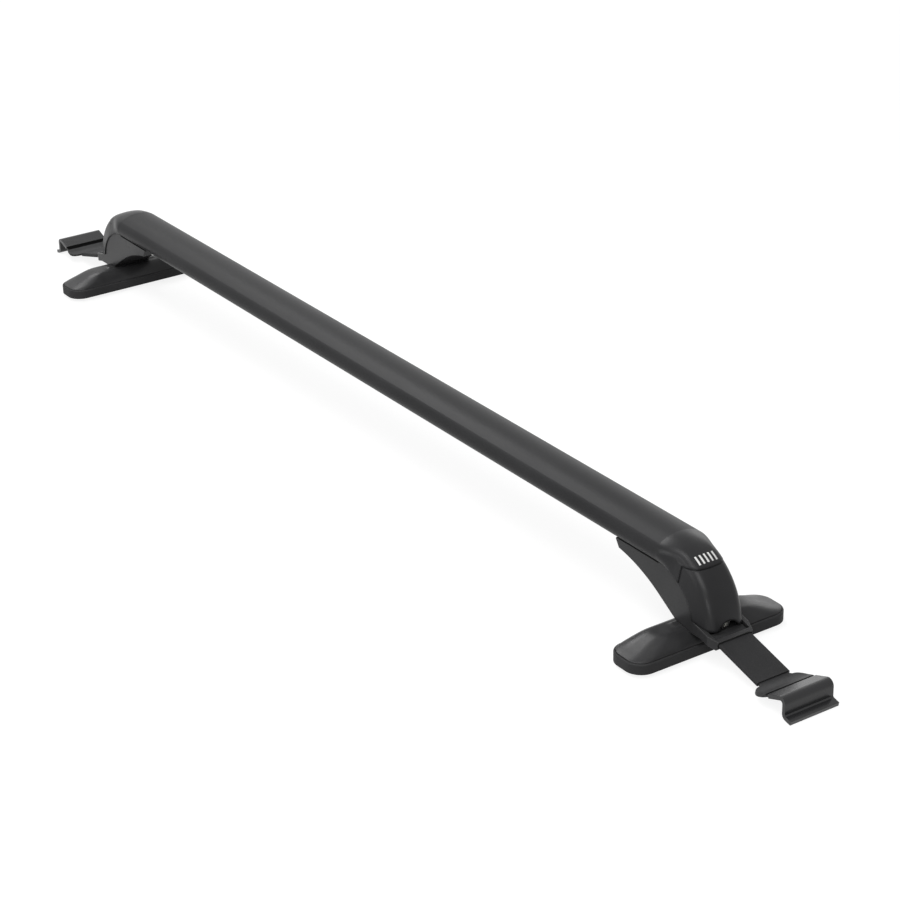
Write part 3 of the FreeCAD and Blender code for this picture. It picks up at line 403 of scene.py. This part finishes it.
def point_along(spots, share):
    """The point of a line at a share of its length."""
    runs = [0.0]
    for before, after in zip(spots, spots[1:]):
        runs.append(runs[-1] + math.dist(before, after))
    target = share * runs[-1]
    number = 0
    while number < len(runs) - 2 and runs[number + 1] < target:
        number += 1
    part = (target - runs[number]) / (runs[number + 1] - runs[number])
    return tuple(a + (b - a) * part for a, b in zip(spots[number], spots[number + 1]))


def split(spots, slope):
    """A section line cut in two where its normal leans by a slope."""
    for number in range(1, len(spots) - 1):
        before, after = spots[number - 1], spots[number + 1]
        if math.atan2(before[1] - after[1], after[0] - before[0]) > slope:
            return spots[:number + 1], spots[number:]
    raise ValueError("the section never leans that far")


OVAL_LINE = split(oval_half(), KEY_SLOPE)
RIDGED_LINE = split(ridged_half(), KEY_SLOPE)


def section_spot(line, share):
    """The point of a section at a share, with the shoulder at the key share."""
    if share < SKIN_KEY:
        return point_along(line[0], share / SKIN_KEY)
    return point_along(line[1], (share - SKIN_KEY) / (1 - SKIN_KEY))


def blend_share(angle):
    """How far the swept end has turned from the oval to the ridged section."""
    share = min(1.0, max(0.0, math.degrees(angle) / SKIN_BLEND))
    return share * share * (3 - 2 * share)


def skin_spot(share, angle):
    """Distance across and height above the sweep's middle, on the swept end."""
    first, last = section_spot(OVAL_LINE, share), section_spot(RIDGED_LINE, share)
    mix = blend_share(angle)
    return tuple(a + (b - a) * mix for a, b in zip(first, last))


def joint_turn(height, gap=0.0):
    """Angle of the L-shaped joint of foot and cover, at a height above the sweep."""
    radius = BEND_RADIUS + height
    reach, rise = SEAM_REACH + gap, SEAM_RISE - gap
    if radius > math.hypot(reach, rise):
        return math.acos(rise / radius)
    return math.asin(reach / radius)


def seam_angle(share):
    """Where the swept end stops, at a share of its section."""
    angle = math.radians(SKIN_BLEND)
    for _ in range(SETTLING_ROUNDS):
        angle = joint_turn(skin_spot(share, angle)[1])
    return angle


def turning_share(below):
    """The share up to which a test holds, found by halving."""
    low, high = 0.0, 1.0
    for _ in range(HALVING_ROUNDS):
        middle = (low + high) / 2
        if below(middle):
            low = middle
        else:
            high = middle
    return low


def seam_corner():
    """The share of the section at the inner corner of the joint with the cover."""
    corner = math.hypot(SEAM_RISE, SEAM_REACH) - BEND_RADIUS
    return turning_share(lambda share: skin_spot(share, seam_angle(share))[1] > corner)


def sweep_place(side, angle, y, height):
    """A point of the sweep in the part's frame."""
    radius = BEND_RADIUS + height
    x = BAR_END + radius * math.sin(angle)
    z = AXIS_LEVEL + radius * math.cos(angle)
    return Vector((SIDES[side] * x, SIDES[side] * y, z)) * MM


def sweep_offsets(side, spot):
    """A point's offsets from the sweep's axis: outboard, across and up."""
    return (SIDES[side] * spot.x / MM - BAR_END, SIDES[side] * spot.y / MM,
            spot.z / MM - AXIS_LEVEL)


def end_point(side, angle, y, lift):
    """A point on the swept end: angle from upright, distance across, and lift."""
    share = turning_share(lambda tried: skin_spot(tried, angle)[0] < abs(y))
    return sweep_place(side, angle, y, skin_spot(share, angle)[1] + lift)


def lane_top(y):
    """Height of the hollow of the swept end at a distance across."""
    return math.sqrt(LANE_CROWN ** 2 - min(abs(y), LANE_HALF) ** 2) - LANE_HUB


def skin_line(sign, share):
    """A line of the skin from the bar to the joint, and in to the hollow."""
    start = -SKIN_OVERLAP / BEND_RADIUS
    stop = seam_angle(share)
    line = []
    for row in range(SKIN_ROWS + 1):
        angle = start + (stop - start) * row / SKIN_ROWS
        y, height = skin_spot(share, angle)
        film = 1 + FILM_THICKNESS / OVAL_HALF_HEIGHT * max(0.0, 1 - row * FILM_FADE)
        line.append((angle, sign * y * film, min(height * film, CREST_LIMIT)))
    _, y, height = line[-1]
    height = min(height, lane_top(y))
    line.append((joint_turn(height), math.copysign(min(abs(y), LANE_HALF), y), height))
    return line


def swept_skin(made, side, slot_number):
    """Skin of the swept end, from the bar's oval to the cover's ridged section."""
    corner = seam_corner()
    shares = [corner * step / SKIN_HALF for step in range(SKIN_HALF + 1)]
    shares += [corner + (1 - corner) * step / SKIN_HALF for step in range(1, SKIN_HALF + 1)]
    lines = []
    for sign in (-1, 1):
        lines += [skin_line(sign, share) for share in shares]
        lines.append([(spot[0], sign * SKIN_TUCK[0], SKIN_TUCK[1]) for spot in lines[-1]])
        if sign < 0:
            lines.reverse()
            lines.pop()
    points = [[made.verts.new(sweep_place(side, *spot)) for spot in line] for line in lines]
    for before, after in zip(points, points[1:]):
        for row in range(len(before) - 1):
            face = made.faces.new((before[row], before[row + 1],
                                   after[row + 1], after[row]))
            face.material_index = slot_number


def on_swept_end(side, spot):
    """Whether a point of the foot belongs to its swept end."""
    x, _, z = sweep_offsets(side, spot)
    return (x >= -SKIN_EDGE and math.atan2(x, z) <= SKIN_LIMIT
            and math.hypot(x, z) >= WEB_RADIUS - SKIN_EDGE)


def outside_hollow(side, spot):
    """Whether a point of the swept end stands outside its hollow."""
    x, y, z = sweep_offsets(side, spot)
    radius = math.hypot(x, z)
    beside = abs(y) > LANE_HALF + SKIN_EDGE
    above = radius - BEND_RADIUS > lane_top(y) + SKIN_EDGE
    return radius > WEB_RADIUS + SKIN_EDGE and (beside or above)


def stand_in(mesh, materials, body, node):
    """A smooth mesh that takes the place of a node."""
    for material in materials:
        mesh.materials.append(material)
    mesh.polygons.foreach_set("use_smooth", [True] * len(mesh.polygons))
    mesh.set_sharp_from_angle(angle=SHARP_ANGLE)
    piece = bpy.data.objects.new(mesh.name, mesh)
    bpy.context.scene.collection.objects.link(piece)
    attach(piece, body)
    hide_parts(node)


def dressed_foot(side):
    """The moulded foot, with the skin of its swept end drawn afresh."""
    name = f"foot_{side}"
    made = bmesh.new()
    made.from_mesh(nodes[name].data)
    old = []
    for face in made.faces:
        face.material_index = 0
        spots = [vert.co for vert in face.verts]
        swept = all(on_swept_end(side, spot) for spot in spots)
        if swept and any(outside_hollow(side, spot) for spot in spots):
            old.append(face)
    bmesh.ops.delete(made, geom=old, context="FACES")
    swept_skin(made, side, 1)
    mesh = bpy.data.meshes.new(f"dressed_foot_{side}")
    made.to_mesh(mesh)
    made.free()
    stand_in(mesh, (PAINT["moulded_black"], PAINT["cap_black"]), "rack", name)


def dressed_cover(side):
    """The cover, with its ridges rounded as softly as they look."""
    name = f"cover_{side}"
    reach, rise = SEAM_REACH + COVER_GAP, SEAM_RISE - COVER_GAP
    mesh = nodes[name].data.copy()
    mesh.name = f"dressed_cover_{side}"
    for vert in mesh.vertices:
        x, y, z = sweep_offsets(side, vert.co)
        turned = math.atan2(x, z)
        y, height = softened(y, math.hypot(x, z) - BEND_RADIUS)
        if min(abs(x - reach), abs(z - rise)) < SKIN_EDGE:
            turned = joint_turn(height, COVER_GAP)
        vert.co = sweep_place(side, turned, y, height)
    mesh.materials.clear()
    stand_in(mesh, (PAINT["cap_black"],), f"cover_body_{side}", name)


def add_piece(made, name, body, material, smooth=False):
    """Turn a bmesh into a piece that rides on a body."""
    mesh = bpy.data.meshes.new(name)
    bmesh.ops.recalc_face_normals(made, faces=made.faces)
    made.to_mesh(mesh)
    made.free()
    mesh.materials.append(material)
    mesh.polygons.foreach_set("use_smooth", [smooth] * len(mesh.polygons))
    piece = bpy.data.objects.new(name, mesh)
    bpy.context.scene.collection.objects.link(piece)
    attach(piece, body)


def tube(made, rings, capped=True):
    """Faces between rings of corners, and at both ends."""
    for before, after in zip(rings, rings[1:]):
        for corner in range(len(before)):
            following = (corner + 1) % len(before)
            made.faces.new((before[corner], before[following],
                            after[following], after[corner]))
    if capped:
        made.faces.new(rings[0])
        made.faces.new(rings[-1])


def index_ticks(side):
    """Painted index ticks above the joint of foot and cover."""
    made = bmesh.new()
    low, high = (math.radians(angle) for angle in TICK_ANGLES)
    corners = ((-1, TICK_LIFT), (1, TICK_LIFT), (1, -TICK_SINK), (-1, -TICK_SINK))
    for number in range(TICK_COUNT):
        middle = (number - (TICK_COUNT - 1) / 2) * TICK_PITCH
        rings = []
        for step in range(TICK_STEPS + 1):
            angle = low + (high - low) * step / TICK_STEPS
            rings.append([made.verts.new(end_point(side, angle, middle + edge * TICK_WIDTH / 2,
                                                   lift)) for edge, lift in corners])
        tube(made, rings)
    add_piece(made, f"index_ticks_{side}", "rack", INDEX_WHITE)


def screw_matrix(side):
    """From a frame with X along the tension screw to the part's frame."""
    x, z = SCREW_ORIGIN
    turn = Matrix.Rotation(0.0 if side == "right" else math.pi, 4, "Z")
    lean = Matrix.Rotation(math.radians(STRAP_TILT), 4, "Y")
    return turn @ Matrix.Translation((x * MM, 0, z * MM)) @ lean


def screw_spot(place, run, radius, angle):
    """A point round the tension screw's axis."""
    return place @ (Vector((run, radius * math.cos(angle), radius * math.sin(angle))) * MM)


def head_knurl(side):
    """Straight knurling round the tension screw's head."""
    made = bmesh.new()
    place = screw_matrix(side)
    head_end = HEAD_START + HEAD_LENGTH
    stations = ((HEAD_START + KNURL_EDGE / 2, 0), (HEAD_START + KNURL_EDGE, 1),
                (head_end - 2 * KNURL_EDGE, 1), (head_end - KNURL_EDGE, 0))
    rings = []
    for station, share in stations:
        ring = []
        for tooth in range(2 * KNURL_COUNT):
            angle = math.pi * tooth / KNURL_COUNT
            proud = KNURL_DEPTH * share if tooth % 2 else -KNURL_DEPTH / 4
            spot = screw_spot(place, station, HEAD_RADIUS + proud, angle)
            ring.append(made.verts.new(spot))
        rings.append(ring)
    tube(made, rings, capped=False)
    add_piece(made, f"head_knurl_{side}", f"screw_body_{side}",
              PAINT["zinc_steel"])


def screw_thread(side):
    """Right-hand thread on the tension screw's shank."""
    made = bmesh.new()
    place = screw_matrix(side)
    tip = HEAD_START - SHANK_LENGTH + THREAD_START
    turns = int((SHANK_LENGTH - THREAD_BARE) / THREAD_PITCH)
    steps = turns * THREAD_STEPS
    rings = []
    for step in range(steps + 1):
        angle = 2 * math.pi * step / THREAD_STEPS
        run = tip + THREAD_PITCH * step / THREAD_STEPS
        ease = min(1.0, step / THREAD_STEPS, (steps - step) / THREAD_STEPS)
        section = ((-THREAD_HALF, THREAD_ROOT), (0, THREAD_HEIGHT * ease),
                   (THREAD_HALF, THREAD_ROOT))
        ring = []
        for offset, height in section:
            spot = screw_spot(place, run + offset * THREAD_PITCH,
                              SHANK_RADIUS - THREAD_SINK + height, angle)
            ring.append(made.verts.new(spot))
        rings.append(ring)
    tube(made, rings)
    add_piece(made, f"screw_thread_{side}", f"screw_body_{side}",
              PAINT["zinc_steel"], smooth=True)


def boot_shadow_strip(side):
    """Painted shadow: a near-black strip on the strap where the boot's inboard edge would
    shade it.
    """
    made = bmesh.new()
    corners = ((EDGE_NEAR, EDGE_LIFT), (EDGE_FAR, EDGE_LIFT),
               (EDGE_FAR, -EDGE_SINK), (EDGE_NEAR, -EDGE_SINK))
    rings = []
    for y in (-EDGE_HALF, EDGE_HALF):
        ring = []
        for (x, z), lift in corners:
            spot = Vector((SIDES[side] * x, SIDES[side] * y, z + lift)) * MM
            ring.append(made.verts.new(spot))
        rings.append(ring)
    tube(made, rings)
    add_piece(made, f"boot_shadow_strip_{side}", f"hook_body_{side}", BOOT_SHADOW_PAINT)


def photo_camera():
    """The camera that took the photo."""
    forward = Vector((-math.sin(YAW) * math.cos(PITCH), math.cos(YAW) * math.cos(PITCH),
                      -math.sin(PITCH)))
    level_right = Vector((math.cos(YAW), math.sin(YAW), 0))
    level_down = forward.cross(level_right)
    right = level_right * math.cos(ROLL) + level_down * math.sin(ROLL)
    down = level_down * math.cos(ROLL) - level_right * math.sin(ROLL)
    lens = bpy.data.cameras.new("photo_lens")
    lens.lens = LENS
    lens.sensor_width = SENSOR
    lens.clip_end = CLIP_END
    camera = bpy.data.objects.new("photo_camera", lens)
    bpy.context.scene.collection.objects.link(camera)
    turned = Matrix((right, -down, -forward)).transposed().to_4x4()
    camera.matrix_world = Matrix.Translation(CAMERA_PLACE) @ turned
    bpy.context.scene.camera = camera


def seen_strength(tree, plain, seen):
    """A strength that differs for camera, glossy and transmission rays."""
    path = tree.nodes.new("ShaderNodeLightPath")
    first = tree.nodes.new("ShaderNodeMath")
    first.operation = "MAXIMUM"
    tree.links.new(path.outputs["Is Camera Ray"], first.inputs[0])
    tree.links.new(path.outputs["Is Glossy Ray"], first.inputs[1])
    second = tree.nodes.new("ShaderNodeMath")
    second.operation = "MAXIMUM"
    tree.links.new(first.outputs[0], second.inputs[0])
    tree.links.new(path.outputs["Is Transmission Ray"], second.inputs[1])
    scaled = tree.nodes.new("ShaderNodeMapRange")
    scaled.inputs["To Min"].default_value = plain
    scaled.inputs["To Max"].default_value = seen
    tree.links.new(second.outputs[0], scaled.inputs["Value"])
    return scaled.outputs["Result"]


def pale_floor():
    """A floor that looks white and keeps the object's shadow."""
    corners = [(-FLOOR_HALF, -FLOOR_HALF, 0), (FLOOR_HALF, -FLOOR_HALF, 0),
               (FLOOR_HALF, FLOOR_HALF, 0), (-FLOOR_HALF, FLOOR_HALF, 0)]
    mesh = bpy.data.meshes.new("floor")
    mesh.from_pydata(corners, [], [(0, 1, 2, 3)])
    floor = bpy.data.objects.new("floor", mesh)
    bpy.context.scene.collection.objects.link(floor)
    paint = bpy.data.materials.new("pale_floor")
    paint.use_nodes = True
    tree = paint.node_tree
    tree.nodes.clear()
    matte = tree.nodes.new("ShaderNodeBsdfDiffuse")
    matte.inputs["Color"].default_value = FLOOR_TONE
    glow = tree.nodes.new("ShaderNodeEmission")
    tree.links.new(seen_strength(tree, 0.0, FLOOR_GLOW), glow.inputs["Strength"])
    both = tree.nodes.new("ShaderNodeAddShader")
    tree.links.new(matte.outputs[0], both.inputs[0])
    tree.links.new(glow.outputs[0], both.inputs[1])
    output = tree.nodes.new("ShaderNodeOutputMaterial")
    tree.links.new(both.outputs[0], output.inputs["Surface"])
    mesh.materials.append(paint)


def pale_world():
    """A world that looks white and lights the object at a plain level."""
    world = bpy.data.worlds.new("pale_room")
    bpy.context.scene.world = world
    world.use_nodes = True
    tree = world.node_tree
    sky = tree.nodes["Background"]
    sky.inputs["Color"].default_value = WORLD_TONE
    tree.links.new(seen_strength(tree, WORLD_PLAIN, 1.0), sky.inputs["Strength"])


def add_lamp(name, spot, width, power):
    """A square lamp that shines at the object."""
    lamp = bpy.data.lights.new(name, "AREA")
    lamp.shape = "SQUARE"
    lamp.size = width
    lamp.energy = power
    holder = bpy.data.objects.new(name, lamp)
    bpy.context.scene.collection.objects.link(holder)
    aim = LAMP_AIM - Vector(spot)
    holder.rotation_euler = aim.to_track_quat("-Z", "Y").to_euler()
    holder.location = spot


for entry in frame["record"]["subparts"]:
    mesh = nodes[entry["node"]].data
    mesh.materials.clear()
    mesh.materials.append(PAINT[entry["material_slot"]])
for side in SIDES:
    dressed_foot(side)
    dressed_cover(side)
    index_ticks(side)
    head_knurl(side)
    screw_thread(side)
    boot_shadow_strip(side)
photo_camera()
pale_floor()
pale_world()
for lamp_values in LAMPS:
    add_lamp(*lamp_values)
bpy.context.scene.view_settings.view_transform = "Standard"
